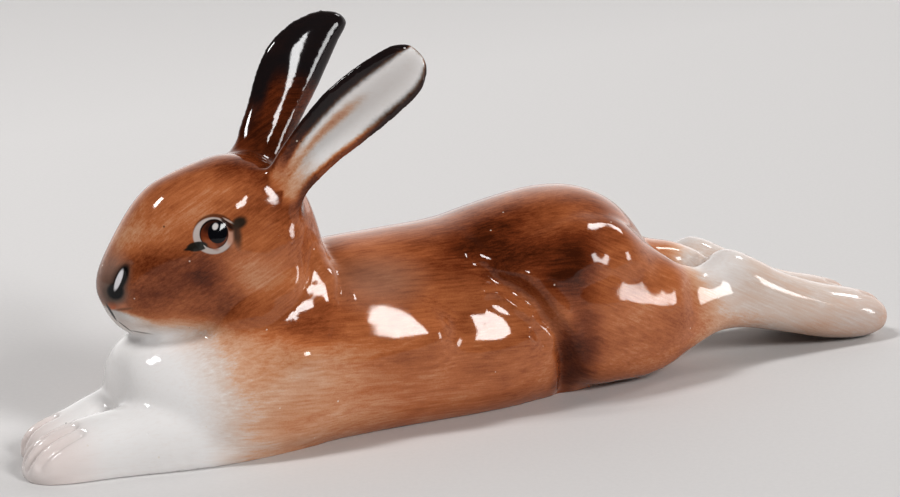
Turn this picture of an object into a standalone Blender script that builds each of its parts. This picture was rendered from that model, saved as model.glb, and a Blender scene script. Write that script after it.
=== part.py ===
"""A lying porcelain hare, cast as one piece, in metres with +Z up.

The nose points to -X and the hind toes to +X. The origin is under the middle of
the hare's length, and the hare rests on z = 0 with its flat cut base.
"""

import math

import bmesh
import bpy
import numpy as np
from mathutils import Vector

# Driving sizes
HARE_LENGTH = 0.240  # front toes to hind toes
EAR_THICKNESS = 0.0032  # of an ear's wall
EYE_DIAMETER = 0.0084
EYE_BULGE = 0.0011  # how far the eyeball stands out
LID_HEIGHT = 0.0004  # of the rim around an eye
GROOVE_DEPTH = 0.0022  # of the deepest crease in the clay
CLAY_VOXEL = 0.0008  # the grain in which the masses are fused
SURFACE_TRIANGLES = 9300

# The pose and the proportions are written in 240ths of the hare's length
UNIT = HARE_LENGTH / 240
SIDES = 40  # points around a section
RINGS_PER_SECTION = 6
FUSED_SMOOTHING = 20
PRESSED_SMOOTHING = 3
UNDERCUT = 4.0  # how far each mass runs below the table before the base is cut

# Each section: x, y of its centre, bottom, top, half width, height of the widest place
TORSO = [
    (-83.4, 0, 10.0, 17.0, 3.0, 0.45),
    (-81.4, 0, 5.0, 23.0, 10.5, 0.45),
    (-76.0, 0, -UNDERCUT, 27.0, 17.5, 0.42),
    (-67.0, 0, -UNDERCUT, 29.0, 22.6, 0.42),
    (-56.0, 0, -UNDERCUT, 32.6, 24.8, 0.42),
    (-43.0, 0, -UNDERCUT, 38.8, 24.8, 0.42),
    (-30.0, 0, -UNDERCUT, 42.8, 23.4, 0.42),
    (-14.0, 0, -UNDERCUT, 43.7, 23.0, 0.42),
    (2.0, 0, -UNDERCUT, 44.5, 23.4, 0.42),
    (13.0, 0, -UNDERCUT, 46.7, 23.0, 0.44),
    (22.0, 0, -UNDERCUT, 48.3, 21.6, 0.50),
    (31.0, 0, -UNDERCUT, 49.0, 20.6, 0.54),
    (40.0, 0, -UNDERCUT, 48.3, 18.6, 0.58),
    (48.0, 0, -2.0, 45.0, 15.4, 0.60),
    (54.5, 0, -1.0, 39.2, 11.0, 0.60),
    (59.5, 0, 4.0, 32.6, 6.5, 0.60),
]
HEAD = [
    (-86.0, 0, 37.0, 41.0, 1.8, 0.50),
    (-84.6, 0, 34.2, 44.2, 4.3, 0.48),
    (-82.4, 0, 30.4, 48.0, 6.4, 0.46),
    (-79.4, 0, 27.6, 52.6, 8.4, 0.46),
    (-76.0, 0, 26.5, 57.2, 9.9, 0.46),
    (-72.0, 0, 26.0, 60.8, 11.4, 0.46),
    (-67.0, 0, 25.8, 62.9, 12.9, 0.45),
    (-61.0, 0, 26.0, 64.7, 14.3, 0.43),
    (-54.0, 0, 26.9, 66.0, 15.7, 0.40),
    (-47.0, 0, 28.6, 65.0, 15.8, 0.40),
    (-41.0, 0, 32.0, 61.0, 13.6, 0.43),
    (-36.5, 0, 38.8, 55.5, 8.5, 0.50),
    (-34.5, 0, 43.5, 51.5, 3.5, 0.50),
]
THIGH_AND_FOOT = [
    (1.0, -10.5, 30.0, 35.0, 3.5, 0.50),
    (7.0, -11.5, 26.5, 38.6, 8.0, 0.50),
    (15.0, -11.8, 19.5, 41.4, 11.2, 0.48),
    (23.0, -11.2, 12.0, 43.4, 13.0, 0.48),
    (29.5, -10.7, 4.0, 44.4, 13.4, 0.50),
    (36.0, -10.3, 1.0, 44.2, 13.4, 0.52),
    (44.0, -10.0, 0.6, 42.0, 12.8, 0.52),
    (52.0, -9.9, 0.7, 36.4, 11.3, 0.52),
    (59.0, -9.8, 2.2, 30.8, 9.4, 0.52),
    (65.0, -9.4, 4.6, 26.6, 7.9, 0.50),
    (70.5, -9.0, 6.6, 25.2, 7.2, 0.50),
    (75.5, -8.4, 8.0, 27.4, 7.0, 0.50),
    (80.0, -7.9, 8.2, 29.2, 6.9, 0.52),
    (84.5, -7.7, 7.9, 28.2, 6.8, 0.52),
    (90.5, -7.5, 6.8, 25.2, 6.7, 0.50),
    (100.0, -7.3, 4.4, 20.3, 6.9, 0.46),
    (112.0, -7.3, 1.4, 16.0, 7.2, 0.46),
    (121.5, -7.3, 0.2, 13.6, 7.4, 0.46),
    (128.0, -7.2, 0.6, 11.4, 6.6, 0.46),
    (131.6, -7.0, 2.0, 8.6, 4.4, 0.46),
    (132.8, -6.9, 3.8, 6.4, 1.8, 0.50),
]
NEAR_FORELEG = [
    (-40.0, -14.0, -UNDERCUT, 8.0, 4.0, 0.45),
    (-54.0, -13.4, -UNDERCUT, 16.0, 8.0, 0.45),
    (-66.0, -12.6, -UNDERCUT, 16.5, 9.4, 0.45),
    (-77.0, -11.2, -UNDERCUT, 14.8, 9.2, 0.45),
    (-86.0, -9.9, -UNDERCUT, 13.2, 8.4, 0.45),
    (-93.0, -9.1, -UNDERCUT, 12.2, 8.0, 0.45),
    (-99.0, -8.5, -UNDERCUT, 10.6, 7.9, 0.45),
    (-104.6, -8.3, -2.6, 7.8, 6.4, 0.45),
    (-107.8, -8.2, -0.4, 3.8, 3.4, 0.50),
]
FAR_FORELEG = [
    (-40.0, 13.0, -UNDERCUT, 8.0, 4.0, 0.45),
    (-54.0, 12.0, -UNDERCUT, 16.0, 8.0, 0.45),
    (-66.0, 10.6, -UNDERCUT, 15.5, 9.4, 0.45),
    (-77.0, 8.4, -UNDERCUT, 13.6, 9.0, 0.45),
    (-86.0, 6.9, -UNDERCUT, 11.6, 8.0, 0.45),
    (-92.0, 5.9, -UNDERCUT, 9.6, 7.8, 0.45),
    (-97.4, 5.4, -UNDERCUT, 8.3, 7.4, 0.45),
    (-101.4, 5.3, -2.6, 6.2, 6.0, 0.45),
    (-103.2, 5.4, -0.4, 3.4, 3.0, 0.50),
]
TAIL = [
    (54.0, 0, 22.0, 36.0, 6.4, 0.60),
    (61.0, 0, 19.6, 32.8, 6.0, 0.66),
    (68.0, 0, 18.6, 30.8, 5.2, 0.70),
    (75.0, 0, 19.4, 28.6, 4.0, 0.70),
    (79.5, 0, 22.0, 26.4, 1.8, 0.60),
]
WEB_BETWEEN_FEET = [
    (44.0, 0, -2.0, 30.0, 8.0, 0.50),
    (56.0, 0, -2.0, 24.0, 8.0, 0.50),
    (63.0, 0, -1.2, 21.0, 6.8, 0.50),
    (68.0, 0, 0.6, 20.5, 5.4, 0.50),
    (73.0, 0, 4.6, 20.0, 4.4, 0.50),
    (80.0, 0, 9.0, 20.0, 3.6, 0.50),
    (96.0, 0, 7.5, 15.5, 3.4, 0.50),
    (112.0, 0, 3.5, 11.0, 3.2, 0.50),
    (124.0, 0, 2.6, 8.6, 2.4, 0.50),
]
# Each level of the neck: z, x of its front, x of its back, half width
NECK = [
    (12.0, -74.0, -34.0, 20.0),
    (22.0, -71.0, -32.0, 19.0),
    (30.0, -67.0, -31.0, 16.6),
    (38.0, -65.0, -31.2, 14.6),
    (46.0, -63.0, -32.6, 13.0),
    (54.0, -60.0, -34.6, 10.6),
    (60.0, -56.0, -38.0, 7.0),
]
# Along each ear: a point of the front rim, one of the rear rim, depth of the cup
NEAR_EAR = [
    (-50.5, -6.5, 57.0, -43.5, -12.0, 51.0, 2.4),
    (-46.3, -9.5, 65.8, -40.4, -13.6, 58.0, 3.4),
    (-42.2, -12.6, 74.0, -35.6, -16.0, 64.0, 3.6),
    (-37.2, -15.0, 80.9, -28.8, -18.3, 69.3, 3.2),
    (-31.6, -16.6, 85.7, -21.4, -20.0, 74.8, 2.6),
    (-25.6, -18.0, 89.5, -15.2, -21.0, 80.2, 2.0),
    (-21.3, -19.2, 91.5, -13.2, -20.8, 85.0, 1.2),
    (-17.6, -20.0, 91.6, -14.2, -20.6, 88.6, 0.3),
]
FAR_EAR = [
    (-54.0, 5.5, 59.0, -40.0, 9.5, 53.0, 2.4),
    (-48.4, 8.5, 66.3, -34.2, 12.0, 61.5, 3.2),
    (-43.9, 11.2, 73.8, -27.8, 14.6, 69.0, 3.4),
    (-40.4, 13.8, 80.4, -22.2, 16.6, 75.2, 3.0),
    (-36.0, 15.6, 86.6, -17.9, 18.4, 80.6, 2.4),
    (-29.6, 17.0, 91.4, -14.8, 19.4, 85.8, 1.8),
    (-22.4, 18.2, 94.0, -13.0, 19.6, 89.8, 1.0),
    (-17.4, 18.9, 94.0, -14.0, 19.4, 92.3, 0.3),
]
EYE = (-63.3, -14.0, 51.2)

# Strokes pressed into the clay on both sides: the way the tool points, its reach,
# its depth as a share of GROOVE_DEPTH, and the points of its path
INWARD = (0.0, 1.0, 0.0)
DOWN_ON_TOES = (0.5, 0.0, -0.85)
STROKES = [
    (INWARD, 2.0, 0.9, [(-31, -3, 44), (-31, -6, 42), (-32, -13, 39), (-34, -19, 34)]),
    (INWARD, 2.6, 1.0, [(3, -13, 39), (8, -17, 35), (14, -21, 30), (22, -23, 20.5), (24.5, -22, 12), (28, -18, 1)]),
    (INWARD, 2.0, 0.45, [(3.5, -17, 34), (10.5, -20, 30), (16, -23, 23.5), (19, -23, 19)]),
    (INWARD, 2.2, 0.6, [(-39, -12, 44), (-41, -14, 38), (-45, -15, 33), (-53, -14, 29), (-62, -13, 28)]),
    (INWARD, 1.0, 0.6, [(-84.3, -1, 34.8), (-83, -3, 31), (-81, -7, 30), (-77, -10, 29.8)]),
    (INWARD, 1.1, 0.6, [(-83.4, -3, 41), (-83.0, -4, 38.6), (-84, -3, 37.4)]),
    (DOWN_ON_TOES, 1.0, 0.8, [(-106, -5.9, 1), (-101, -5.9, 8), (-96, -6.2, 10)]),
    (DOWN_ON_TOES, 1.0, 0.8, [(-106, -9.4, 1), (-101, -9.7, 8), (-96, -9.9, 10)]),
    ((0.0, 0.25, -0.97), 1.3, 0.8, [(60, -7.0, 28), (67, -6.0, 25), (75, -5.0, 25)]),
    ((-0.3, 0.0, -0.95), 1.0, 0.6, [(135, -5.0, 4), (130, -5.0, 10), (124, -5.2, 12)]),
    ((-0.3, 0.0, -0.95), 1.0, 0.6, [(135, -9.4, 4), (130, -9.4, 10), (124, -9.2, 12)]),
]


def clear_scene():
    for item in list(bpy.data.objects):
        bpy.data.objects.remove(item)


def collection(name):
    made = bpy.data.collections.new(name)
    bpy.context.scene.collection.children.link(made)
    return made


def spline(rows, steps):
    """The rows of numbers, joined by a smooth curve with steps points to each gap."""
    rows = [np.array(row, float) for row in rows]
    ends = [rows[0] * 2 - rows[1]] + rows + [rows[-1] * 2 - rows[-2]]
    curve = []
    for i in range(len(rows) - 1):
        a, b, c, d = ends[i : i + 4]
        for step in range(steps):
            t = step / steps
            bend = (2 * a - 5 * b + 4 * c - d) * t**2 + (3 * b - a - 3 * c + d) * t**3
            curve.append(0.5 * (2 * b + (c - a) * t + bend))
    return curve + [rows[-1]]


def rounded(angle, power):
    """The cosine and sine of an angle, pushed towards a square by a power over 2."""
    across, up = math.cos(angle), math.sin(angle)
    return (
        math.copysign(abs(across) ** (2 / power), across),
        math.copysign(abs(up) ** (2 / power), up),
    )


def standing_ring(row, side=1):
    """A section that stands across the hare, from its six sizes."""
    x, y, bottom, top, half_width, widest = row
    waist = bottom + (top - bottom) * widest
    ring = []
    for i in range(SIDES):
        angle = 2 * math.pi * i / SIDES
        across, up = rounded(angle, 2.1 if math.sin(angle) > 0 else 2.5)
        reach = top - waist if up > 0 else waist - bottom
        place = (x, side * y + half_width * across, waist + reach * up)
        ring.append(Vector(place) * UNIT)
    return ring


def lying_ring(row):
    """A level section of the neck."""
    z, front, back, half_width = row
    middle, half_length = (front + back) / 2, (back - front) / 2
    ring = []
    for i in range(SIDES):
        across, along = rounded(2 * math.pi * i / SIDES, 2.2)
        ring.append(Vector((middle + half_length * along, half_width * across, z)) * UNIT)
    return ring


def ear_rings(table, side):
    """The cupped sections of an ear, from its root to its tip, opening to one side."""
    rows = spline(table, RINGS_PER_SECTION)
    middles = [Vector((row[:3] + row[3:6]) / 2) for row in rows]
    rings = []
    for i, row in enumerate(rows):
        along = (middles[min(i + 1, len(rows) - 1)] - middles[max(i - 1, 0)]).normalized()
        half_chord = Vector((row[3:6] - row[:3]) / 2)
        opening = along.cross(half_chord).normalized()
        if opening.y * side < 0:
            opening.negate()
        cup = row[6]
        half_wall = EAR_THICKNESS / 2 / UNIT * min(1.0, half_chord.length / 3.4)
        ring = []
        for k in range(SIDES):
            share, through = rounded(2 * math.pi * k / SIDES, 2.8)
            slope = 2 * cup * share / half_chord.length
            wall = (opening - half_chord.normalized() * slope).normalized()
            place = middles[i] + half_chord * share + opening * cup * (share**2 - 0.4)
            ring.append((place + wall * half_wall * through) * UNIT)
        rings.append(ring)
    return rings


def skin(rings):
    """A closed mesh through a row of rings."""
    shape = bmesh.new()
    loops = [[shape.verts.new(point) for point in ring] for ring in rings]
    for low, high in zip(loops, loops[1:]):
        for k in range(SIDES):
            n = (k + 1) % SIDES
            shape.faces.new((low[k], low[n], high[n], high[k]))
    shape.faces.new(loops[0][::-1])
    shape.faces.new(loops[-1])
    bmesh.ops.recalc_face_normals(shape, faces=shape.faces)
    return shape


def masses():
    """The clay masses of the hare, each one closed."""
    rings = []
    standing = (TORSO, HEAD, TAIL, WEB_BETWEEN_FEET, THIGH_AND_FOOT, NEAR_FORELEG, FAR_FORELEG)
    for table in standing:
        rings.append([standing_ring(row) for row in spline(table, RINGS_PER_SECTION)])
    far_side = spline(THIGH_AND_FOOT, RINGS_PER_SECTION)
    rings.append([standing_ring(row, -1) for row in far_side])
    rings.append([lying_ring(row) for row in spline(NECK, RINGS_PER_SECTION)])
    rings.append(ear_rings(NEAR_EAR, -1))
    rings.append(ear_rings(FAR_EAR, 1))
    return [skin(each) for each in rings]


def fused(name, shapes, home):
    """One object from the masses, fused in a fine grain and smoothed."""
    mesh = bpy.data.meshes.new(name)
    together = bmesh.new()
    for shape in shapes:
        lump = bpy.data.meshes.new("lump")
        shape.to_mesh(lump)
        shape.free()
        together.from_mesh(lump)
        bpy.data.meshes.remove(lump)
    together.to_mesh(mesh)
    together.free()
    body = bpy.data.objects.new(name, mesh)
    home.objects.link(body)
    remesh = body.modifiers.new("fuse", "REMESH")
    remesh.mode = "VOXEL"
    remesh.voxel_size = CLAY_VOXEL
    return smoothed(body, FUSED_SMOOTHING)


def smoothed(body, times):
    """The object smoothed that many times, with its modifiers applied."""
    smooth = body.modifiers.new("soften", "SMOOTH")
    smooth.factor = 0.5
    smooth.iterations = times
    graph = bpy.context.evaluated_depsgraph_get()
    mesh = bpy.data.meshes.new_from_object(body.evaluated_get(graph))
    body.modifiers.clear()
    old = body.data
    body.data = mesh
    bpy.data.meshes.remove(old)
    mesh.name = body.name
    return body


def distance_to_path(points, path):
    """How far each point is from a path of straight lines."""
    best = np.full(len(points), np.inf)
    for a, b in zip(path, path[1:]):
        along = b - a
        share = np.clip((points - a) @ along / (along @ along), 0, 1)
        off = points - a - share[:, None] * along
        best = np.minimum(best, np.linalg.norm(off, axis=1))
    return best


def read_vectors(items, name):
    values = np.empty(len(items) * 3)
    items.foreach_get(name, values)
    return values.reshape(-1, 3)


def press_strokes(body):
    """The creases, pressed straight in with a tool, on both sides."""
    points = read_vectors(body.data.vertices, "co")
    normals = read_vectors(body.data.vertices, "normal")
    moved = points.copy()
    for way, reach, depth, path in STROKES:
        for side in (1, -1):
            tool = np.array((way[0], side * way[1], way[2]))
            tool /= np.linalg.norm(tool)
            flat = np.eye(3) - np.outer(tool, tool)
            line = [np.array((x, side * y, z)) * UNIT for x, y, z in path]
            middle_y = np.mean([place[1] for place in line])
            gap = distance_to_path(points @ flat, [place @ flat for place in line])
            press = np.exp(-((gap / (reach * UNIT)) ** 2)) * np.clip(-normals @ tool, 0, 1)
            press[np.abs(points[:, 1] - middle_y) > 16 * UNIT] = 0
            moved += tool * (press * depth * GROOVE_DEPTH)[:, None]
    body.data.vertices.foreach_set("co", moved.ravel())


def raise_eyes(body):
    """The eyeballs, each one inside a low rim."""
    points = read_vectors(body.data.vertices, "co")
    for side in (1, -1):
        centre = np.array((EYE[0], side * EYE[1], EYE[2])) * UNIT
        outward = np.array((-0.25, -side * 0.95, 0.15))
        share = np.linalg.norm(points - centre, axis=1) / (EYE_DIAMETER / 2)
        ball = np.clip(1 - share**2, 0, 1)
        lid = np.exp(-(((share - 1.15) / 0.2) ** 2))
        points += outward * (EYE_BULGE * ball + LID_HEIGHT * lid)[:, None]
    body.data.vertices.foreach_set("co", points.ravel())


def set_to_size(body):
    """The hare scaled to its length, with the middle of its length over the origin."""
    points = read_vectors(body.data.vertices, "co")
    points *= HARE_LENGTH / np.ptp(points[:, 0])
    points[:, :2] -= (points[:, :2].max(axis=0) + points[:, :2].min(axis=0)) / 2
    body.data.vertices.foreach_set("co", points.ravel())
    body.data.update()


def cut_base(body, home):
    """Everything below the table is cut off flat."""
    room = HARE_LENGTH * 2
    bpy.ops.mesh.primitive_cube_add(size=1, location=(0, 0, -room / 2))
    table = bpy.context.active_object
    table.name = "table_cutter"
    table.scale = (room, room, room)
    for owner in list(table.users_collection):
        owner.objects.unlink(table)
    home.objects.link(table)
    table.hide_render = True
    table.display_type = "WIRE"
    cut = body.modifiers.new("flat base", "BOOLEAN")
    cut.operation = "DIFFERENCE"
    cut.solver = "EXACT"
    cut.object = table


def porcelain():
    """Brown painted porcelain under a clear glaze."""
    material = bpy.data.materials.new("painted_porcelain")
    material.use_nodes = True
    shader = material.node_tree.nodes["Principled BSDF"]
    shader.inputs["Base Color"].default_value = (0.29, 0.095, 0.035, 1)
    shader.inputs["Roughness"].default_value = 0.12
    shader.inputs["Metallic"].default_value = 0.0
    return material


def make_hare():
    parts = collection("lying_hare")
    cutters = collection("cutters")
    hare = fused("hare", masses(), parts)
    press_strokes(hare)
    raise_eyes(hare)
    smoothed(hare, PRESSED_SMOOTHING)
    set_to_size(hare)
    thin = hare.modifiers.new("facets", "DECIMATE")
    hare.data.calc_loop_triangles()
    thin.ratio = SURFACE_TRIANGLES / len(hare.data.loop_triangles)
    cut_base(hare, cutters)
    hare.data.materials.append(porcelain())
    hare.data.shade_smooth()
    return hare


clear_scene()
make_hare()
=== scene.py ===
# A lying porcelain hare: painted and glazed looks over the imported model
import math

import bpy
import numpy as np
from mathutils import Matrix, Vector, kdtree


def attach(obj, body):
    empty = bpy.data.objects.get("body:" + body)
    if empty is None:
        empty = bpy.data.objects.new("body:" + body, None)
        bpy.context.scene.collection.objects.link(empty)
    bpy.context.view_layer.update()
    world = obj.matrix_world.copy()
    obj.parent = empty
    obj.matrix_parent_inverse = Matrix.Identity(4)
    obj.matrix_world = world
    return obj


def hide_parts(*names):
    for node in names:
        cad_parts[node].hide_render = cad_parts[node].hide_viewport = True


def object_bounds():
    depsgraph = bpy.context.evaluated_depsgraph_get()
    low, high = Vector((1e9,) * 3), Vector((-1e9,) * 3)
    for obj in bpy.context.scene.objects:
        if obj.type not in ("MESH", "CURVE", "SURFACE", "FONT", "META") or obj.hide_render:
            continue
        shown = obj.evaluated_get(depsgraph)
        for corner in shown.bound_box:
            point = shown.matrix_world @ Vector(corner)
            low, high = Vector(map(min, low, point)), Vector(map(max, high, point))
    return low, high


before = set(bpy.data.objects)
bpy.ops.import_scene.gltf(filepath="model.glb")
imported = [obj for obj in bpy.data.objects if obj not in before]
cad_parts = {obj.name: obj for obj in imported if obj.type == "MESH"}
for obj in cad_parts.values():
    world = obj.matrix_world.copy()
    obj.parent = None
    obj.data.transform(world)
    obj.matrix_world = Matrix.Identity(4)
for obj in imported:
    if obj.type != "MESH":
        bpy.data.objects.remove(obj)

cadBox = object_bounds()
print("frame loaded")

mm = 0.001

# The clay masses of the hare, in millimetres on the maker's sheet, nose towards -x
# Standing sections: x, y of the centre, bottom, top, half width, and how far up from bottom
# to top they are widest
clay = {
    "sides": 40,  # points round a section
    "steps": 6,  # rings from one section to the next
    "grain": 0.675,  # of the fused clay
    "smoothing": 0.5,  # how much each pass smooths
    "softening": 28,  # passes once the clay is fused
    "finishing": 4,  # passes once it is modelled
    "triangles": 197000,  # at most
    "creaseAngle": 50,  # degrees, and sharper edges stay sharp
    # How square the sections are: 2 is round
    "squareness": {"above": 2.1, "below": 2.5, "neck": 2.2, "ear": 2.8},
    "torso": [
        (-83.4, 0, 10.0, 17.0, 3.0, 0.45), (-81.4, 0, 5.0, 23.0, 10.5, 0.45),
        (-76.0, 0, -4.0, 27.0, 17.5, 0.42), (-67.0, 0, -4.0, 29.0, 22.6, 0.42),
        (-56.0, 0, -4.0, 32.6, 24.8, 0.42), (-43.0, 0, -4.0, 38.8, 24.8, 0.42),
        (-30.0, 0, -4.0, 42.8, 23.4, 0.42), (-14.0, 0, -4.0, 43.7, 23.0, 0.42),
        (2.0, 0, -4.0, 44.5, 23.4, 0.42), (13.0, 0, -4.0, 46.7, 23.0, 0.44),
        (22.0, 0, -4.0, 48.3, 21.6, 0.50), (31.0, 0, -4.0, 49.0, 20.6, 0.54),
        (40.0, 0, -4.0, 48.3, 18.6, 0.58), (48.0, 0, -2.0, 45.0, 15.4, 0.60),
        (54.5, 0, -1.0, 39.2, 11.0, 0.60), (59.5, 0, 4.0, 32.6, 6.5, 0.60),
    ],
    "head": [
        (-86.0, 0, 37.0, 41.0, 1.8, 0.50), (-84.6, 0, 34.2, 44.2, 4.3, 0.48),
        (-82.4, 0, 30.4, 48.0, 6.4, 0.46), (-79.4, 0, 27.6, 52.6, 8.4, 0.46),
        (-76.0, 0, 26.5, 57.2, 9.9, 0.46), (-72.0, 0, 26.0, 60.8, 11.4, 0.46),
        (-67.0, 0, 25.8, 62.9, 12.9, 0.45), (-61.0, 0, 26.0, 64.7, 14.3, 0.43),
        (-54.0, 0, 26.9, 66.0, 15.7, 0.40), (-47.0, 0, 28.6, 65.0, 15.8, 0.40),
        (-41.0, 0, 32.0, 61.0, 13.6, 0.43), (-36.5, 0, 38.8, 55.5, 8.5, 0.50),
        (-34.5, 0, 43.5, 51.5, 3.5, 0.50),
    ],
    "hindLeg": [
        (1.0, -10.5, 30.0, 35.0, 3.5, 0.50), (7.0, -11.5, 26.5, 38.6, 8.0, 0.50),
        (15.0, -11.8, 19.5, 41.4, 11.2, 0.48), (23.0, -11.2, 12.0, 43.4, 13.0, 0.48),
        (29.5, -10.7, 4.0, 44.4, 13.4, 0.50), (36.0, -10.3, 1.0, 44.2, 13.4, 0.52),
        (44.0, -10.0, 0.6, 42.0, 12.8, 0.52), (52.0, -9.9, 0.7, 36.4, 11.3, 0.52),
        (59.0, -9.8, 2.2, 30.8, 9.4, 0.52), (65.0, -9.4, 4.6, 26.6, 7.9, 0.50),
        (70.5, -9.0, 6.6, 25.2, 7.2, 0.50), (75.5, -8.4, 8.0, 27.4, 7.0, 0.50),
        (80.0, -7.9, 8.2, 29.2, 6.9, 0.52), (84.5, -7.7, 7.9, 28.2, 6.8, 0.52),
        (90.5, -7.5, 6.8, 25.2, 6.7, 0.50), (100.0, -7.3, 4.4, 20.3, 6.9, 0.46),
        (112.0, -7.3, 1.4, 16.0, 7.2, 0.46), (121.5, -7.3, 0.2, 13.6, 7.4, 0.46),
        (128.0, -7.2, 0.6, 11.4, 6.6, 0.46), (131.6, -7.0, 2.0, 8.6, 4.4, 0.46),
        (132.8, -6.9, 3.8, 6.4, 1.8, 0.50),
    ],
    "nearForeleg": [
        (-40.0, -14.0, -4.0, 8.0, 4.0, 0.45), (-54.0, -13.4, -4.0, 16.0, 8.0, 0.45),
        (-66.0, -12.6, -4.0, 16.5, 9.4, 0.45), (-77.0, -11.2, -4.0, 14.8, 9.2, 0.45),
        (-86.0, -9.9, -4.0, 13.2, 8.4, 0.45), (-93.0, -9.1, -4.0, 12.2, 8.0, 0.45),
        (-99.0, -8.5, -4.0, 10.6, 7.9, 0.45), (-104.6, -8.3, -2.6, 7.8, 6.4, 0.45),
        (-107.8, -8.2, -0.4, 3.8, 3.4, 0.50),
    ],
    "farForeleg": [
        (-40.0, 13.0, -4.0, 8.0, 4.0, 0.45), (-54.0, 12.0, -4.0, 16.0, 8.0, 0.45),
        (-66.0, 10.6, -4.0, 15.5, 9.4, 0.45), (-77.0, 8.4, -4.0, 13.6, 9.0, 0.45),
        (-86.0, 6.9, -4.0, 11.6, 8.0, 0.45), (-92.0, 5.9, -4.0, 9.6, 7.8, 0.45),
        (-97.4, 5.4, -4.0, 8.3, 7.4, 0.45), (-101.4, 5.3, -2.6, 6.2, 6.0, 0.45),
        (-103.2, 5.4, -0.4, 3.4, 3.0, 0.50),
    ],
    "tail": [
        (54.0, 0, 22.0, 36.0, 6.4, 0.60), (61.0, 0, 19.6, 32.8, 6.0, 0.66),
        (68.0, 0, 18.6, 30.8, 5.2, 0.70), (75.0, 0, 19.4, 28.6, 4.0, 0.70),
        (79.5, 0, 22.0, 26.4, 1.8, 0.60),
    ],
    "betweenFeet": [
        (44.0, 0, -2.0, 30.0, 8.0, 0.50), (56.0, 0, -2.0, 24.0, 8.0, 0.50),
        (63.0, 0, -1.2, 21.0, 6.8, 0.50), (68.0, 0, 0.6, 20.5, 5.4, 0.50),
        (73.0, 0, 4.6, 20.0, 4.4, 0.50), (80.0, 0, 9.0, 20.0, 3.6, 0.50),
        (96.0, 0, 7.5, 15.5, 3.4, 0.50), (112.0, 0, 3.5, 11.0, 3.2, 0.50),
        (124.0, 0, 2.6, 8.6, 2.4, 0.50),
    ],
    # Levels of the neck: z, x of the front, x of the back, half width
    "neck": [
        (12.0, -74.0, -34.0, 20.0), (22.0, -71.0, -31.6, 20.0), (30.0, -67.0, -30.4, 18.6),
        (38.0, -65.0, -30.6, 16.6), (46.0, -63.0, -32.2, 14.2), (54.0, -60.0, -34.6, 10.8),
        (60.0, -56.0, -38.0, 7.0),
    ],
}

# Along each ear: a point at the front rim, one at the rear rim, depth of the cup
ears = {
    "wall": 3.2,
    "thinBelow": 3.4,  # where half the ear's width is less than this, the wall is thinner too
    "rootWall": 2.6,  # added to half the wall where each ear grows out of the head
    "rootRows": 2.2,  # how many rows of the table that addition reaches
    "sink": 0.4,  # the share of a cup's depth that lies behind the line through its two points
    "crest": {-1: 0.0, 1: 0.25},  # how far behind the middle the back of each ear is highest
    "near": [
        (-50.5, -6.5, 57.0, -43.5, -12.0, 51.0, 2.4),
        (-46.3, -9.5, 65.8, -40.4, -13.6, 58.0, 3.4),
        (-42.2, -12.6, 74.0, -35.6, -16.0, 64.0, 3.6),
        (-37.2, -15.0, 80.9, -28.8, -18.3, 69.3, 3.2),
        (-31.6, -16.6, 85.7, -21.4, -20.0, 74.8, 2.6),
        (-25.6, -18.0, 89.5, -15.2, -21.0, 80.2, 2.0),
        (-21.3, -19.2, 91.5, -13.2, -20.8, 85.0, 1.2),
        (-17.6, -20.0, 91.6, -14.2, -20.6, 88.6, 0.3),
    ],
    "far": [
        (-55.4, 4.0, 60.5, -41.0, 7.5, 54.0, 2.4),
        (-47.2, 7.6, 66.5, -35.4, 9.6, 61.7, 3.2),
        (-42.1, 10.7, 74.2, -29.5, 12.1, 69.4, 3.4),
        (-39.3, 12.7, 81.0, -24.6, 13.5, 75.8, 3.0),
        (-35.8, 14.3, 87.2, -20.6, 15.1, 81.2, 2.4),
        (-29.8, 15.9, 91.9, -17.0, 16.7, 86.3, 1.8),
        (-22.8, 17.4, 94.3, -14.0, 18.0, 90.1, 1.0),
        (-17.8, 18.1, 94.2, -14.4, 18.6, 92.5, 0.3),
    ],
}


def curveThrough(rows, steps):  # a smooth curve through the rows of a table
    rows = [np.array(row, float) for row in rows]
    ends = [rows[0] * 2 - rows[1]] + rows + [rows[-1] * 2 - rows[-2]]
    curve = []
    for i in range(len(rows) - 1):
        a, b, c, d = ends[i:i + 4]
        for step in range(steps):
            t = step / steps
            bend = (2 * a - 5 * b + 4 * c - d) * t**2 + (3 * b - a - 3 * c + d) * t**3
            curve.append(0.5 * (2 * b + (c - a) * t + bend))
    return curve + [rows[-1]]


def squarish(angle, power):  # a circle's cosine and sine, pushed a little towards a square
    across, up = math.cos(angle), math.sin(angle)
    across = math.copysign(abs(across) ** (2 / power), across)
    return across, math.copysign(abs(up) ** (2 / power), up)


def standingSection(row, side):  # a ring across the body
    x, y, bottom, top, halfWidth, widest = row
    waist = bottom + (top - bottom) * widest
    ring = []
    for i in range(clay["sides"]):
        angle = 2 * math.pi * i / clay["sides"]
        half = "above" if math.sin(angle) > 0 else "below"
        across, up = squarish(angle, clay["squareness"][half])
        reach = top - waist if up > 0 else waist - bottom
        ring.append((x, side * y + halfWidth * across, waist + reach * up))
    return ring


def lyingSection(row):  # a level ring of the neck
    z, front, back, halfWidth = row
    ring = []
    for i in range(clay["sides"]):
        across, along = squarish(2 * math.pi * i / clay["sides"], clay["squareness"]["neck"])
        ring.append(((front + back) / 2 + (back - front) / 2 * along, halfWidth * across, z))
    return ring


def earFrame(rows, i, side):  # the middle, half chord and opening of an ear's section
    middles = [Vector((row[:3] + row[3:6]) / 2) for row in rows[max(i - 1, 0):i + 2]]
    row = rows[i]
    halfChord = Vector((row[3:6] - row[:3]) / 2)
    opening = (middles[-1] - middles[0]).cross(halfChord).normalized()
    if opening.y * side < 0:
        opening.negate()
    return Vector((row[:3] + row[3:6]) / 2), halfChord, opening, row[6]


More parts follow.
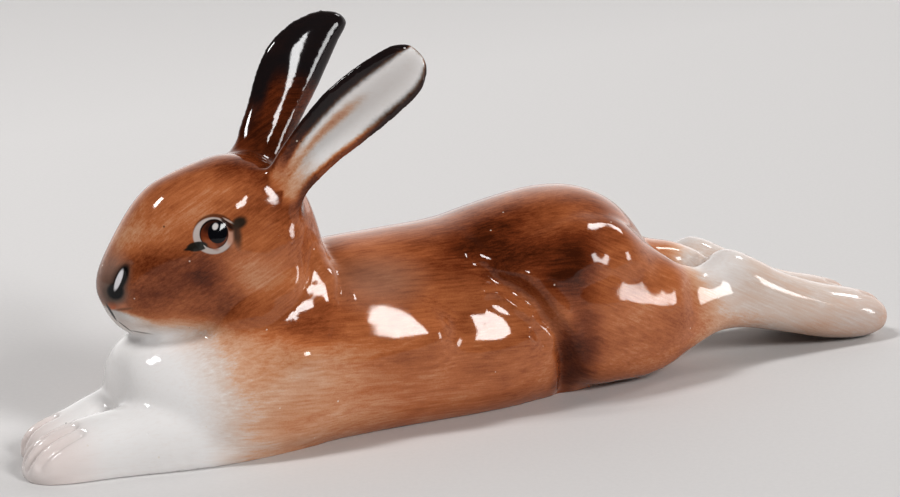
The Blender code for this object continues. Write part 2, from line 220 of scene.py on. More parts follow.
def earPoint(middle, halfChord, opening, cup, share, side):
    # the way out of the ear's wall, and a place on its middle
    crest = ears["crest"][side]
    turned = share - crest
    slope = 2 * cup * turned / halfChord.length
    wall = (opening - halfChord.normalized() * slope).normalized()
    depth = turned**2 - ears["sink"] - crest**2
    return wall, middle + halfChord * share + opening * cup * depth


def earSections(table, side):
    rows = curveThrough(table, clay["steps"])
    rings = []
    for i in range(len(rows)):
        middle, halfChord, opening, cup = earFrame(rows, i, side)
        halfWall = ears["wall"] / 2 * min(1.0, halfChord.length / ears["thinBelow"])
        nearRoot = max(0.0, 1 - i / (ears["rootRows"] * clay["steps"]))
        halfWall += ears["rootWall"] * nearRoot**2
        ring = []
        for k in range(clay["sides"]):
            angle = 2 * math.pi * k / clay["sides"]
            share, through = squarish(angle, clay["squareness"]["ear"])
            wall, place = earPoint(middle, halfChord, opening, cup, share, side)
            ring.append(place + wall * halfWall * through)
        rings.append(ring)
    return rings


def alone(piece):  # this piece selected and active, and nothing else
    bpy.ops.object.select_all(action="DESELECT")
    piece.select_set(True)
    bpy.context.view_layer.objects.active = piece


def drawnOutBall(name, rings):
    # a ball whose rings are drawn out to the sections of a mass
    bpy.ops.object.select_all(action="DESELECT")
    bpy.ops.mesh.primitive_uv_sphere_add(
        segments=clay["sides"], ring_count=len(rings) + 1, radius=1)
    lump = bpy.context.active_object
    lump.name = name
    sections = np.array([[tuple(point) for point in ring] for ring in rings])
    ends = (sections[0].mean(axis=0), sections[-1].mean(axis=0))
    for vertex in lump.data.vertices:
        x, y, z = vertex.co
        level = round(math.acos(max(-1.0, min(1.0, z))) / math.pi * (len(rings) + 1))
        turn = round(math.atan2(y, x) / (2 * math.pi) * clay["sides"]) % clay["sides"]
        if level == 0:
            place = ends[0]
        elif level == len(rings) + 1:
            place = ends[1]
        else:
            place = sections[level - 1][turn]
        vertex.co = Vector(place) * mm
    bpy.ops.object.mode_set(mode="EDIT")
    bpy.ops.mesh.select_all(action="SELECT")
    bpy.ops.mesh.normals_make_consistent(inside=False)
    bpy.ops.object.mode_set(mode="OBJECT")
    return lump


def standing(name, side=1):
    return [standingSection(row, side) for row in curveThrough(clay[name], clay["steps"])]


lumps = [drawnOutBall(name, standing(name)) for name in
         ("torso", "head", "tail", "betweenFeet", "hindLeg", "nearForeleg", "farForeleg")]
lumps.append(drawnOutBall("farHindLeg", standing("hindLeg", -1)))
neckLevels = curveThrough(clay["neck"], clay["steps"])
lumps.append(drawnOutBall("neck", [lyingSection(row) for row in neckLevels]))
lumps.append(drawnOutBall("nearEar", earSections(ears["near"], -1)))
lumps.append(drawnOutBall("farEar", earSections(ears["far"], 1)))
print("clay masses made:", len(lumps))


def applied(piece, kind, **settings):
    alone(piece)
    modifier = piece.modifiers.new(kind.lower(), kind)
    for name, value in settings.items():
        setattr(modifier, name, value)
    bpy.ops.object.modifier_apply(modifier=modifier.name)


alone(lumps[0])
for lump in lumps:
    lump.select_set(True)
bpy.ops.object.join()
hare = bpy.context.active_object
hare.name = "glazedHare"
applied(hare, "REMESH", mode="VOXEL", voxel_size=clay["grain"] * mm)
applied(hare, "SMOOTH", factor=clay["smoothing"], iterations=clay["softening"])
print("clay fused:", len(hare.data.vertices), "points")


# What is pressed or raised in the soft clay, on both sides: the way the tool points, its
# reach, how deep it goes, and its path. A minus depth raises a ridge instead.
inward = (0.0, 1.0, 0.0)
downForeToes = (0.5, 0.0, -0.85)
downHindToes = (-0.3, 0.0, -0.95)
modelling = {
    "strokes": [
        # the shoulder, then the fold of the thigh: two grooves with a roll and a ridge
        (inward, 2.0, 2.0, [(-31, -3, 44), (-31, -6, 42), (-32, -13, 39), (-34, -19, 34)]),
        (inward, 2.0, 2.3, [(1.5, -14, 37.5), (7, -17, 33), (11.2, -20, 29.8), (16, -22, 25.2),
                            (21, -23, 19), (24.5, -22, 12), (28, -18, 1)]),
        (inward, 1.8, 0.9, [(5, -19, 28.5), (9.5, -21, 25), (13.8, -22.5, 21.5), (17.5, -23, 17)]),
        (inward, 2.0, -0.9, [(3, -12, 41), (7.5, -16, 37.5), (12.5, -19.5, 33.3),
                             (17, -21.5, 29), (21.5, -22.5, 24), (25, -22.5, 19)]),
        (inward, 1.4, -0.5, [(7, -19, 31), (11, -20.6, 27.8), (14.5, -21.3, 24.6),
                             (18.5, -21.5, 20.5)]),
        # the edge of the shoulder, and the groove between neck and chest
        (inward, 0.9, -0.8, [(-34.5, -10, 43), (-32.6, -12, 40.2), (-31.6, -14, 37.4),
                             (-31, -16.3, 34.6)]),
        (inward, 2.2, 1.3, [(-39, -12, 44), (-41, -14, 38), (-45, -15, 33), (-53, -14, 29),
                            (-62, -13, 28)]),
        # the mouth, and the groove and ridge of the nostril
        (inward, 0.8, 1.1, [(-84.6, -0.6, 35.2), (-83.6, -2, 31.6), (-82.4, -4, 30.2),
                            (-80, -8, 29.9), (-77, -10, 29.8)]),
        (inward, 0.9, 1.0, [(-83.4, -4.4, 37.2), (-82.0, -5.8, 40.4), (-80.8, -6.5, 44.8)]),
        (inward, 1.0, -0.5, [(-84.0, -4.3, 39.0), (-83.0, -4.6, 41.6), (-82.0, -5.4, 44.4)]),
        # between the toes of the forefeet, under the tail, between the toes of the hind feet
        (downForeToes, 0.8, 2.0, [(-106, -5.9, 1), (-101, -5.9, 8), (-96, -6.2, 10)]),
        (downForeToes, 0.8, 2.0, [(-106, -9.4, 1), (-101, -9.7, 8), (-96, -9.9, 10)]),
        (downForeToes, 0.8, 1.4, [(-104, -12.6, 1), (-100, -12.8, 6), (-95, -12.8, 8)]),
        ((0.0, 0.25, -0.97), 1.3, 1.8, [(60, -7.0, 28), (67, -6.0, 25), (75, -5.0, 25)]),
        (downHindToes, 0.8, 1.6, [(135, -5.0, 4), (130, -5.0, 10), (124, -5.2, 12)]),
        (downHindToes, 0.8, 1.6, [(135, -9.4, 4), (130, -9.4, 10), (124, -9.2, 12)]),
    ],
    "sameSide": 16,  # how far to the side of its path a stroke still presses
    "swellings": [  # centre, reach along x, y and z, height; a minus height makes a hollow
        ((-45.6, 22.5, 25.3), (6.0, 12, 6.0), 0.68), ((-29.1, 22.6, 26.2), (6.2, 12, 7.1), -0.59),
        ((-26.3, 18.5, 30.1), (9.5, 12, 9.4), -0.62), ((-18.1, 22.4, 20.4), (9.5, 12, 6.0), 0.94),
        ((-13.7, 21.2, 23.6), (6.2, 12, 9.0), 1.38), ((0.8, 22.5, 26.9), (10.5, 12, 6.0), -1.44),
        ((7.7, 24.0, 18.0), (9.4, 12, 6.0), 0.99),
        ((34.9, 15.0, 39.6), (10.0, 12, 11.3), 1.32), ((36.6, 22.4, 40.1), (4.9, 12, 7.5), -1.30),
        ((45.8, 22.4, 27.8), (7.2, 12, 5.5), -1.06), ((57.2, 17.8, 22.9), (7.4, 12, 13.6), 1.56),
        ((79.0, 14.2, 22.2), (5.9, 12, 4.6), -0.94), ((33.7, 23.2, 30.3), (9.9, 12, 5.0), -1.18),
        ((54.7, 19.6, 28.0), (5.8, 12, 8.9), -1.48),
        ((-24.6, 19.1, 28.6), (7.9, 12, 5.5), 0.60), ((-9.5, 21.6, 28.9), (13.6, 12, 7.1), -0.45),
        ((-4.7, 21.6, 26.8), (6.8, 12, 7.1), -0.57), ((10.1, 21.4, 31.3), (5.0, 12, 5.4), 0.41),
        ((-45.0, 23.0, 25.7), (5.0, 12, 5.0), 0.59), ((-23.5, 23.6, 20.8), (5.4, 12, 5.1), 0.41),
        ((-40.7, 13.2, 32.2), (7.5, 12, 6.3), 1.89), ((-45.6, 18.2, 27.8), (4.4, 12, 3.1), -1.34),
        ((-43.9, 17.6, 32.7), (3.1, 12, 3.9), 0.28), ((-46.9, 16.1, 29.0), (4.3, 12, 7.8), 1.12),
        ((-43.3, 21.3, 32.3), (7.6, 12, 5.2), -2.48), ((-34.9, 12.4, 38.1), (3.0, 12, 3.5), 1.39),
        ((-53.5, 11.5, 58.3), (4.9, 12, 5.1), 1.05), ((-59.3, 12.9, 56.4), (3.0, 12, 3.1), 0.68),
        ((-52.4, 15.0, 54.9), (3.3, 12, 5.5), -0.84),
        ((64.0, 17.9, 21.7), (4.0, 12, 4.4), -0.80), ((67.8, 13.8, 27.0), (4.9, 12, 4.5), 1.50),
        ((-42.0, 13.8, 35.5), (6.6, 12, 3.3), 1.03), ((-48.0, 18.1, 29.1), (3.9, 12, 3.0), -0.83),
        ((-49.6, 17.4, 30.6), (3.9, 12, 3.0), 1.12), ((-38.4, 16.7, 33.1), (3.6, 12, 6.0), 0.88),
        ((-51.5, 19.6, 32.2), (4.6, 12, 5.3), -0.74), ((-39.5, 13.7, 34.8), (5.4, 12, 3.9), -1.65),
        ((-18.6, 20.6, 24.4), (10.7, 12, 8.6), 0.54), ((-18.3, 22.6, 24.3), (8.2, 12, 6.4), -0.39),
        ((-10.9, 21.7, 25.3), (4.0, 12, 4.2), 0.75), ((-10.2, 19.9, 29.8), (4.6, 12, 4.4), -0.91),
        ((6.0, 22.4, 22.2), (4.3, 12, 4.0), -0.51), ((-2.0, 22.4, 23.0), (6.8, 12, 11.5), -0.65),
        ((2.8, 14.2, 37.2), (2.7, 12, 2.7), 1.57), ((12.6, 18.4, 25.5), (4.4, 12, 2.5), 0.97),
        ((8.0, 21.2, 34.8), (7.9, 12, 2.4), 1.68), ((9.9, 21.3, 30.8), (3.3, 12, 3.4), -0.80),
        ((20.4, 21.7, 17.7), (2.0, 12, 2.9), 1.01), ((12.7, 22.1, 19.4), (2.0, 12, 2.1), 0.67),
        ((5.0, 20.6, 35.6), (6.2, 12, 3.8), -1.65), ((14.0, 21.7, 23.4), (2.0, 12, 2.4), 1.06),
        ((13.7, 23.7, 25.0), (3.9, 12, 6.0), -1.23),
    ],
    "eye": (-63.3, 14.0, 51.2),
    "eyeWay": (-0.25, 0.95, 0.15),  # out of the head
    "eyeRadius": 4.2,
    "eyeBulge": 1.1,
    "lid": 0.15,
    "lidRing": (1.15, 0.2),  # its middle and its width, in eye radii
    "earRoots": [(-45.5, -10.5, 57.5), (-47.0, 5.0, 63.0)],
    "rootReach": 10.0,
    "rootLeast": 0.01,  # points with a smaller weight are left alone
    "rootSoftening": 90,  # smoothing passes
}


def vectorsOf(piece, name="co"):
    values = np.empty(len(piece.data.vertices) * 3)
    piece.data.vertices.foreach_get(name, values)
    return values.reshape(-1, 3)


def putBack(piece, points):
    piece.data.vertices.foreach_set("co", points.ravel())
    piece.data.update()


def distanceToPath(points, path):
    best = np.full(len(points), np.inf)
    for a, b in zip(path, path[1:]):
        along = b - a
        share = np.clip((points - a) @ along / (along @ along), 0, 1)
        best = np.minimum(best, np.linalg.norm(points - a - share[:, None] * along, axis=1))
    return best


def pressStrokes(piece):
    points = vectorsOf(piece) / mm
    normals = vectorsOf(piece, "normal")
    moved = points.copy()
    for way, reach, depth, path in modelling["strokes"]:
        for side in (1, -1):
            tool = np.array((way[0], side * way[1], way[2]))
            tool /= np.linalg.norm(tool)
            flat = np.eye(3) - np.outer(tool, tool)
            line = [np.array((x, side * y, z), float) for x, y, z in path]
            middleY = np.mean([place[1] for place in line])
            gap = distanceToPath(points @ flat, [place @ flat for place in line])
            press = np.exp(-((gap / reach) ** 2)) * np.clip(-normals @ tool, 0, 1)
            press[np.abs(points[:, 1] - middleY) > modelling["sameSide"]] = 0
            moved += tool * (press * depth)[:, None]
    putBack(piece, moved * mm)


def swell(piece):
    points = vectorsOf(piece) / mm
    normals = vectorsOf(piece, "normal")
    for centre, reach, height in modelling["swellings"]:
        for side in (1, -1):
            offset = points - np.array(centre) * (1, side, 1)
            away = np.linalg.norm(offset / np.array(reach), axis=1)
            points += normals * (height * np.exp(-away**2))[:, None]
    putBack(piece, points * mm)


def raiseEyes(piece):
    points = vectorsOf(piece) / mm
    for side in (1, -1):
        centre = np.array(modelling["eye"]) * (1, side, 1)
        outward = np.array(modelling["eyeWay"]) * (1, side, 1)
        share = np.linalg.norm(points - centre, axis=1) / modelling["eyeRadius"]
        ball = np.clip(1 - share**2, 0, 1)
        ringAt, ringWidth = modelling["lidRing"]
        rim = np.exp(-(((share - ringAt) / ringWidth) ** 2))
        points += outward * (modelling["eyeBulge"] * ball + modelling["lid"] * rim)[:, None]
    putBack(piece, points * mm)


earSearch = {
    "steps": 24,  # between two rows of an ear's table
    "places": 41,  # across the ear
    "margin": 4,  # round the box that is searched
    "nearest": 3,
    "reach": 3.6,  # points farther from the middle of the wall are not the ear's
    "evenness": 0.05,  # keeps the weight of the very nearest place in bounds
}


def measureEar(points, table, side):
    # for each point near the ear: how far along it, how far across, how far out of its wall
    rows = curveThrough(table, earSearch["steps"])
    samples = []
    for i in range(len(rows)):
        middle, halfChord, opening, cup = earFrame(rows, i, side)
        for share in np.linspace(-1, 1, earSearch["places"]):
            wall, place = earPoint(middle, halfChord, opening, cup, share, side)
            samples.append((place, i / (len(rows) - 1), share, wall))
    tree = kdtree.KDTree(len(samples))
    for i, sample in enumerate(samples):
        tree.insert(sample[0], i)
    tree.balance()
    along = np.full(len(points), -1.0)
    across = np.zeros(len(points))
    out = np.zeros(len(points))
    places = np.array([sample[0] for sample in samples])
    low = places.min(axis=0) - earSearch["margin"]
    high = places.max(axis=0) + earSearch["margin"]
    inside = np.all((points > low) & (points < high), axis=1)
    for n in np.flatnonzero(inside):
        found = tree.find_n(points[n], earSearch["nearest"])
        if found[0][2] > earSearch["reach"]:
            continue
        weights = np.array([1 / (near[2] + earSearch["evenness"]) for near in found])
        weights /= weights.sum()
        along[n] = sum(w * samples[near[1]][1] for w, near in zip(weights, found))
        across[n] = sum(w * samples[near[1]][2] for w, near in zip(weights, found))
        place, _, _, wall = samples[found[0][1]]
        out[n] = (Vector(points[n]) - place).dot(wall)
    return along, across, out


def smoothStep(low, high, value):
    share = np.clip((value - low) / (high - low), 0, 1)
    return share * share * (3 - 2 * share)


def softenEarRoots(piece):
    points = vectorsOf(piece) / mm
    group = piece.vertex_groups.new(name="earRoots")
    for root in modelling["earRoots"]:
        away = np.linalg.norm(points - np.array(root), axis=1) / modelling["rootReach"]
        weights = smoothStep(1.0, 0.5, away)
        for n in np.flatnonzero(weights > modelling["rootLeast"]):
            group.add([int(n)], float(weights[n]), "REPLACE")
    applied(piece, "SMOOTH", factor=clay["smoothing"], iterations=modelling["rootSoftening"],
            vertex_group=group.name)
    piece.vertex_groups.clear()


softenEarRoots(hare)
pressStrokes(hare)
swell(hare)
raiseEyes(hare)
applied(hare, "SMOOTH", factor=clay["smoothing"], iterations=clay["finishing"])
print("creases pressed and eyes raised")

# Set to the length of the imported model, with the same middle, and cut off flat at the table
points = vectorsOf(hare)
scale = (cadBox[1][0] - cadBox[0][0]) / np.ptp(points[:, 0])
points *= scale
shift = -(points[:, :2].max(axis=0) + points[:, :2].min(axis=0)) / 2
points[:, :2] += shift
putBack(hare, points)
alone(hare)
bpy.ops.object.mode_set(mode="EDIT")
bpy.ops.mesh.select_all(action="SELECT")
bpy.ops.mesh.bisect(plane_co=(0, 0, 0), plane_no=(0, 0, 1), use_fill=True, clear_inner=True)
bpy.ops.mesh.select_all(action="SELECT")
bpy.ops.mesh.quads_convert_to_tris()
bpy.ops.mesh.normals_make_consistent(inside=False)
bpy.ops.object.mode_set(mode="OBJECT")
applied(hare, "DECIMATE", ratio=min(1.0, clay["triangles"] / len(hare.data.polygons)))
points = vectorsOf(hare)
points[:, 2] = np.maximum(points[:, 2], 0)
putBack(hare, points)
alone(hare)
bpy.ops.object.shade_smooth_by_angle(angle=math.radians(clay["creaseAngle"]))
print("hare cut to its base:", len(hare.data.polygons), "triangles")
print("scale", round(scale, 5), "shift", shift / mm)


# The painter's plan, on the same sheet as the clay. Each dab is a centre, its reach along
# x, y and z, how soft its edge is, and how much paint it holds. Both sides are painted alike.
painting = {
    "bodyDabs": [
        ((0, 0, 25), (200, 60, 60), 0.1, 0.64),
        ((-20, 24, 4), (60, 12, 18), 0.7, 0.56),
        ((-50, 22, 10), (20, 14, 20), 0.6, 0.35),
        ((-42, 19, 30), (9, 8, 5), 0.7, 0.70),
        ((-20, 10, 42), (20, 14, 8), 0.7, 0.61),
        ((12, 14, 41), (21, 12, 9), 0.7, 0.92),
        ((34, 12, 43), (16, 12, 8), 0.8, 0.73),
        # darkest brown in the hollows by the thigh: dark paint with painted shade laid into the
        # hollows
        ((24, 22, 34), (8, 7, 7), 0.7, 0.97),
        ((28, 21, 12), (5, 9, 15), 0.7, 0.98),
        ((50, 19, 17), (18, 8, 14), 0.7, 0.58),
        ((64, 0, 30), (12, 6, 8), 0.6, 0.52),
    ],
    "feet": 0.13,
    "feetDabs": [
        ((78, 12, 9), (12, 7, 4), 0.7, 0.34), ((108, 12, 3), (14, 7, 4), 0.8, 0.26),
        ((131, 8, 4), (5, 9, 6), 0.8, 0.3), ((76, 9, 26), (9, 8, 6), 0.8, 0.03),
    ],
    "feetGrey": 0.17,
    "soleGrey": 0.38,
    "tailTip": 0.12,
    "head": 0.68,
    "headDabs": [
        ((-70, 8, 57), (14, 9, 7), 0.8, 0.56), ((-67, 12, 41), (12, 8, 6), 0.8, 0.92),
        ((-52, 15, 43), (9, 7, 9), 0.7, 0.50), ((-46, 14, 55), (8, 7, 9), 0.7, 0.70),
        ((-43, 13, 60), (6, 6, 6), 0.8, 0.90), ((-48, 6, 65), (9, 8, 5), 0.8, 0.84),
        ((-64, 13, 33), (9, 7, 4), 0.8, 0.76), ((-70, 13, 35), (6, 6, 4), 0.8, 0.62),
        ((-80, 6, 50), (6, 8, 7), 0.8, 0.46), ((-76, 9, 44), (7, 7, 5), 0.8, 0.78),
    ],
    "muzzle": 0.02,
    "muzzleTop": (34.9, 0.42),  # its height at the nose, and its fall towards the cheek
    "chin": 0.04,
    "chestEdge": 0.16,
    "chest": 0.0,
    "pinkDabs": [((-101, 9, 4), (8, 10, 9), 0.6, 1), ((124, 8, 6), (12, 9, 8), 0.7, 0.7)],
    "blackDabs": [((-38.6, 14, 57), (3.2, 4, 5), 0.6, 0.7)],
    "greyDabs": [
        # the nose pad's grey, then a painted sheen: a greyish reflection of the room painted on the
        # upper flank
        ((-84.5, 3, 41), (4.0, 4.0, 7), 0.7, 0.55), ((-23.5, 16, 36), (9, 9, 5), 0.8, 0.28),
    ],
    "earRoot": 0.56,
    "earFold": 0.40,
    # how much painted shade lies in the middle of each ear's cup
    "earCupShade": 0.4,
    "earTipGrey": 0.5,
    "earFrontRim": 0.95,
    "earRearRim": 0.84,
    "earBlack": (0.97, 0.94, 0.92),  # on the back, the front edge and the rear edge
}


def dab(points, centre, reach, soft):  # 1 inside the dab, 0 outside, with a soft edge
    distance = np.linalg.norm((points - np.array(centre, float)) / np.array(reach, float), axis=1)
    return 1 - smoothStep(1 - soft, 1 + soft, distance)


def over(field, mask, value):  # a field painted over with a value where the mask lets it
    return field + (value - field) * mask


def dabbed(field, points, dabs):
    for centre, reach, soft, value in dabs:
        field = over(field, dab(points, centre, reach, soft), value)
    return field


def paintEar(fields, along, across, out):
    on = smoothStep(0.04, 0.16, along)
    hollow = smoothStep(0.2, 0.9, out) * smoothStep(1.0, 0.86, np.abs(across))
    back, inside = on * (1 - hollow), on * hollow
    backBlack, frontBlack, rearBlack = painting["earBlack"]
    coat, black, grey = fields["coat"], fields["black"], fields["grey"]
    coat = over(coat, back, 0.88 + 0.08 * smoothStep(0.1, 0.4, along))
    black = over(black, back * smoothStep(0.36, 0.52, along), backBlack)
    # the pale inside, with painted shade in the middle of its cup, a brown fold and a brown root
    coat = over(coat, inside, 0.0)
    flat = np.stack((along, across, out * 0), 1)
    middle = dab(flat, (0.62, 0.15, 0), (0.3, 0.6, 1), 0.8)
    grey = over(grey, inside * middle, painting["earCupShade"])
    fold = np.exp(-(((across + 0.22 - 0.2 * along) / 0.16) ** 2)) * smoothStep(0.60, 0.40, along)
    coat = over(coat, inside * fold, painting["earFold"])
    root = inside * smoothStep(0.30, 0.10, along) * (0.6 + 0.4 * smoothStep(0.2, -0.4, across))
    coat = over(coat, root, painting["earRoot"])
    # the rims, brown with a black edge
    frontRim = on * smoothStep(-0.58, -0.74, across) * smoothStep(0.10, 0.20, along)
    rearRim = on * smoothStep(0.74, 0.90, across)
    coat = over(coat, frontRim, painting["earFrontRim"])
    coat = over(coat, rearRim, painting["earRearRim"])
    frontEdge = on * smoothStep(-0.44, -0.66, across) * smoothStep(0.16, 0.36, along)
    rearEdge = on * smoothStep(0.62, 0.84, across) * smoothStep(0.40, 0.56, along)
    black = over(black, frontEdge * smoothStep(1.0, 0.93, along), frontBlack)
    black = over(black, rearEdge * smoothStep(0.97, 0.84, along), rearBlack)
    grey = over(grey, on * smoothStep(0.9, 0.99, along) * (across > 0), painting["earTipGrey"])
    fields.update(coat=coat, black=black, grey=grey)


def paintFields(piece):
    sheet = (vectorsOf(piece) - np.array((shift[0], shift[1], 0))) / scale / mm
    mirrored = sheet * (1, 0, 1) + np.abs(sheet) * (0, 1, 0)
    x, y, z = mirrored.T
    blank = np.zeros(len(sheet))
    coat = dabbed(blank, mirrored, painting["bodyDabs"])
    # hind feet and tail
    feet = smoothStep(62, 80, x + 0.35 * (z - 15))
    feet = feet * (1 - dab(mirrored, (60, 0, 32), (16, 6, 8), 0.3))
    coat = over(coat, feet, painting["feet"])
    coat = dabbed(coat, mirrored, painting["feetDabs"])
    tailTip = smoothStep(66, 76, x) * dab(mirrored, (74, 0, 27), (14, 6, 6), 0.3)
    coat = over(coat, tailTip, painting["tailTip"])
    # head
    head = dab(mirrored, (-62, 0, 48), (29, 22, 22), 0.12) * smoothStep(26, 31, z)
    coat = over(coat, head, painting["head"])
    coat = dabbed(coat, mirrored, painting["headDabs"])
    noseHeight, fall = painting["muzzleTop"]
    muzzleEdge = noseHeight - fall * np.clip(x + 84, 0, 20)
    muzzle = smoothStep(0.9, -0.7, z - muzzleEdge) * smoothStep(-72, -80, x + 0.5 * (z - 30))
    coat = over(coat, muzzle * (x < -60), painting["muzzle"])
    chin = smoothStep(28.4, 27.2, z) * smoothStep(-62, -70, x) * (x < -55)
    coat = over(coat, chin, painting["chin"])
    # chest and forelegs
    leaning = x + 0.15 * (z - 15)
    chestEdge = smoothStep(-50, -68, leaning) * smoothStep(34, 28, z)
    coat = over(coat, chestEdge, painting["chestEdge"])
    chest = smoothStep(-60, -74, leaning) * smoothStep(33, 27, z)
    coat = over(coat, chest, painting["chest"])
    pink = dabbed(blank, mirrored, painting["pinkDabs"])
    fields = {"coat": coat, "black": blank, "pink": pink, "grey": blank}
    for name, side in (("near", -1), ("far", 1)):
        paintEar(fields, *measureEar(sheet, ears[name], side))
    fields["black"] = dabbed(fields["black"], mirrored, painting["blackDabs"])
    grey = dabbed(fields["grey"], mirrored, painting["greyDabs"])
    soles = smoothStep(70, 90, x) * smoothStep(11, 3, z - 0.06 * (132 - x))
    grey = over(grey, soles, painting["soleGrey"])
    fields["grey"] = over(grey, feet * painting["feetGrey"], 1)
    for name, values in fields.items():
        layer = piece.data.attributes.new(name, "FLOAT", "POINT")
        layer.data.foreach_set("value", values.astype(np.float32))


paintFields(hare)
print("paint laid out")


# The glaze and the paint under it
finish = {
    "coatTones": [  # how much paint, and its colour
        (0.00, (0.80, 0.78, 0.77)), (0.12, (0.66, 0.54, 0.47)), (0.26, (0.62, 0.38, 0.26)),
        (0.40, (0.54, 0.27, 0.15)), (0.55, (0.435, 0.152, 0.060)), (0.70, (0.29, 0.088, 0.032)),
        (0.85, (0.155, 0.037, 0.011)), (1.00, (0.055, 0.012, 0.003)),
    ],
    "pink": (0.72, 0.55, 0.50),
    "grey": (0.30, 0.25, 0.225),
    "black": (0.012, 0.010, 0.011),
    "pinkStrength": 0.45,
    # Brush hairs run back along the body, up along the head and down along the thigh, in degrees
    "hairTurns": (-4, 28, -26),
    "hairSize": (0.11, 1.7, 1.7),
    "hairStrength": (0.08, 0.42),  # where there is no paint, and where there is enough
    "gritScale": 2.6,
    "gritStrength": 0.16,
    "patchSize": (0.45, 1, 1.2),
    "patchScale": 0.14,
    "patchStrength": 0.42,
    "speckScale": 0.19,
    "speckEdge": (0.055, 0.035),
    "paleAbove": 0.64,  # each speck has a number from 0 to 1: above this one it is pale,
    "darkBelow": 0.16,  # below this one dark, and between them it is only a pinhole
    "speckStrength": 0.7,
    "paleSpeck": (0.75, 0.68, 0.6),
    "darkSpeck": (0.03, 0.015, 0.01),
    "rippleScale": 0.35,
    "bumpHair": 0.07,
    "bumpRipple": 0.25,
    "bumpSpeck": 0.25,
    "bumpDistance": 0.00006,
    "roughness": (0.042, 0.105),  # between hairs and on them
    "glazeIndex": 1.42,
    # The eye and the nose are painted in a flat view of the side of the head: its across and
    # its up. In it, millimetres back along the head and up, from each one's own middle.
    "facing": ((0.8704, -0.4924, 0.0), (0.1191, 0.2105, 0.9703)),
    "eyeMiddle": (-63.3, -14.0, 51.3),
    "noseMiddle": (-83.0, -4.5, 39.0),
    # Where, reach, turn, softness, strength and colour, in the order they are put on
    "eyeTouches": [
        ((-0.2, 0.3), (4.75, 4.4), 0, 0.06, 0.75, (0.045, 0.014, 0.007)),
        ((-0.58, -0.19), (4.4, 4.1), 0, 0.05, 1.0, (0.50, 0.43, 0.40)),
        ((3.2, -0.3), (1.0, 2.2), 0, 0.5, 0.8, (0.50, 0.24, 0.15)),
        ((3.2, 1.7), (0.8, 1.0), 0, 0.4, 0.95, (0.12, 0.035, 0.012)),
        ((2.4, 2.45), (1.8, 0.45), -42, 0.3, 0.95, (0.03, 0.012, 0.008)),
        ((2.9, 3.0), (1.5, 0.22), -30, 0.4, 0.9, (0.50, 0.40, 0.35)),
        ((-0.4, 0.2), (3.15, 3.3), 0, 0.04, 1.0, (0.016, 0.008, 0.006)),
        ((-0.4, 0.0), (2.9, 2.95), 0, 0.08, 1.0, (0.15, 0.036, 0.014)),
        ((-1.2, -2.0), (1.9, 0.7), -38, 0.5, 0.9, (0.30, 0.085, 0.03)),
        ((-1.1, 1.9), (1.8, 1.1), 35, 0.5, 0.9, (0.02, 0.008, 0.006)),
        ((0.4, 0.5), (2.1, 2.4), 0, 0.06, 1.0, (0.005, 0.005, 0.007)),
        # a painted highlight: a white glint on the upper left of the eye
        ((-0.11, 1.84), (0.62, 0.78), -20, 0.25, 0.95, (0.62, 0.58, 0.56)),
        ((-4.1, -2.6), (2.3, 1.05), 9, 0.15, 0.97, (0.016, 0.017, 0.014)),
        ((-5.9, -3.15), (1.1, 0.3), 12, 0.4, 0.95, (0.02, 0.016, 0.012)),
        # a painted highlight: a pale glint stroke in the dark front corner of the eye
        ((-2.2, -2.8), (0.65, 0.18), -48, 0.4, 0.9, (0.55, 0.5, 0.47)),
        ((5.1, 2.7), (1.7, 1.25), 30, 0.4, 0.95, (0.022, 0.02, 0.015)),
        # painted shade: a greyish-brown band behind the rear corner of the eye
        ((4.6, 0.0), (0.9, 2.9), 6, 0.6, 0.85, (0.05, 0.034, 0.026)),
    ],
    "noseTouches": [
        ((0.0, -3.6), (2.4, 0.9), -15, 0.6, 0.8, (0.50, 0.20, 0.11)),
        ((-1.5, -3.5), (1.0, 0.9), 0, 0.4, 0.9, (0.60, 0.16, 0.05)),
        ((1.4, -4.2), (2.0, 0.28), 6, 0.5, 0.7, (0.16, 0.07, 0.035)),
        ((-1.6, 0.6), (2.8, 4.2), -20, 0.6, 0.6, (0.11, 0.065, 0.05)),
        ((-0.6, -0.6), (2.5, 2.5), -20, 0.4, 0.85, (0.10, 0.075, 0.06)),
        ((0.7, 2.6), (1.8, 3.8), -24, 0.4, 0.8, (0.08, 0.05, 0.04)),
        ((-0.5, -0.3), (1.9, 1.8), -20, 0.25, 1.0, (0.006, 0.006, 0.007)),
        ((0.8, 2.5), (1.3, 3.5), -25, 0.25, 1.0, (0.008, 0.007, 0.007)),
        # a painted highlight: a white glint along the nostril
        ((0.35, 2.3), (0.62, 2.5), -22, 0.22, 0.95, (0.75, 0.73, 0.75)),
        ((-1.9, -5.0), (0.3, 2.3), 29, 0.3, 1.0, (0.012, 0.01, 0.01)),
        ((1.0, -8.2), (0.16, 2.0), 50, 0.4, 0.8, (0.06, 0.05, 0.045)),
        ((4.4, -9.5), (0.16, 2.4), 80, 0.6, 0.7, (0.10, 0.08, 0.07)),
    ],
}


